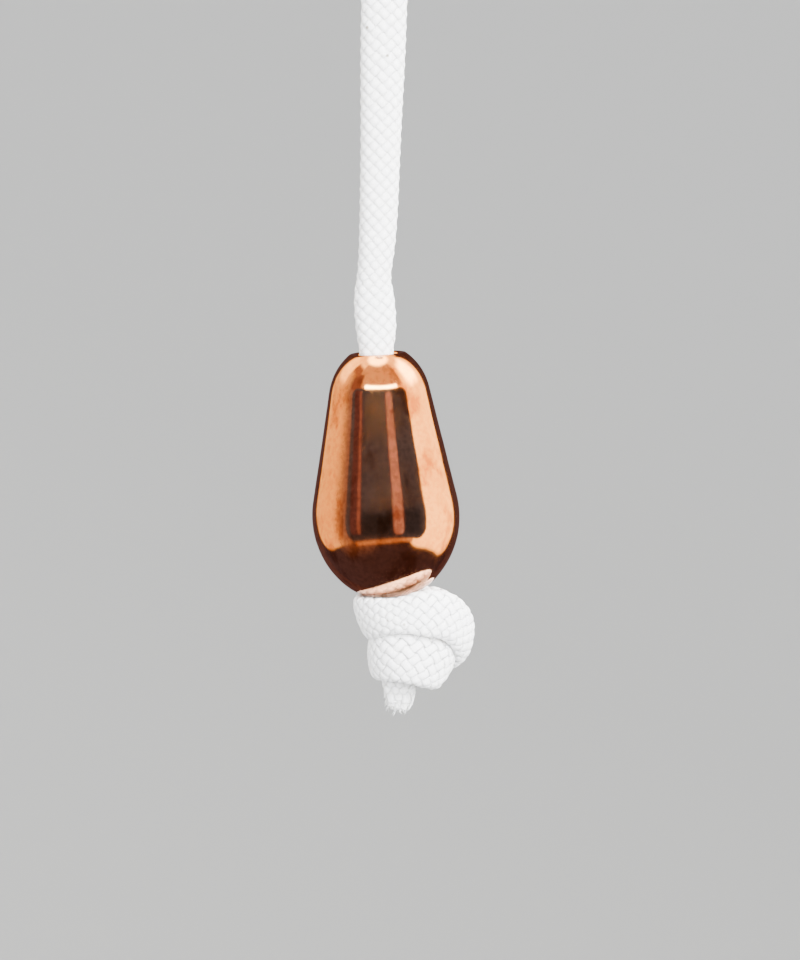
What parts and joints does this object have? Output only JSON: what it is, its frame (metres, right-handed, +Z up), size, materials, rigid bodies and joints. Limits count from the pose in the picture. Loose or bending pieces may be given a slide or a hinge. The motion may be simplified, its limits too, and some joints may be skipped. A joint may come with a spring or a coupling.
{
  "type": "plumb bob",
  "caption": "Small polished copper plumb bob threaded on a flat white braided cord, resting on a stopper knot, hung by a tied loop.",
  "frame": {"origin": "the hanging point: the inner top of the tied loop, where a nail or hook carries it", "axes": "+Z straight up along the line and the bob's axis, +X to the loop's side, so the loop lies in the XZ plane"},
  "size_m": [0.0234, 0.0195, 0.1353],
  "materials": {
    "copper": "polished",
    "cord": "braided"
  },
  "bodies": {
    "eye": {"eye_loop": "cord", "eye_knot": "cord", "eye_tail": "cord"},
    "line_head": {"line_head": "cord"},
    "line": {"line": "cord"},
    "lower_cord": {"cord_in_bore": "cord", "stopper_knot": "cord", "cord_tail": "cord"},
    "bob": {"bob": "copper"}
  },
  "joints": [
    {"name": "swing_fore_aft", "type": "hinge", "parent": "eye", "child": "line_head", "pos_m": [0, 0, -0.03415], "axis": [1, 0, 0], "range_deg": [-45, 45]},
    {"name": "swing_side", "type": "hinge", "parent": "line_head", "child": "line", "pos_m": [0, 0, -0.03915], "axis": [0, 1, 0], "range_deg": [-45, 45]},
    {"name": "line_twist", "type": "hinge", "parent": "line", "child": "lower_cord", "pos_m": [0, 0, -0.08535], "axis": [0, 0, 1], "continuous": true},
    {"name": "bob_slide", "type": "slide", "parent": "lower_cord", "child": "bob", "axis": [0, 0, 1], "range_m": [0, 0.012]}
  ]
}
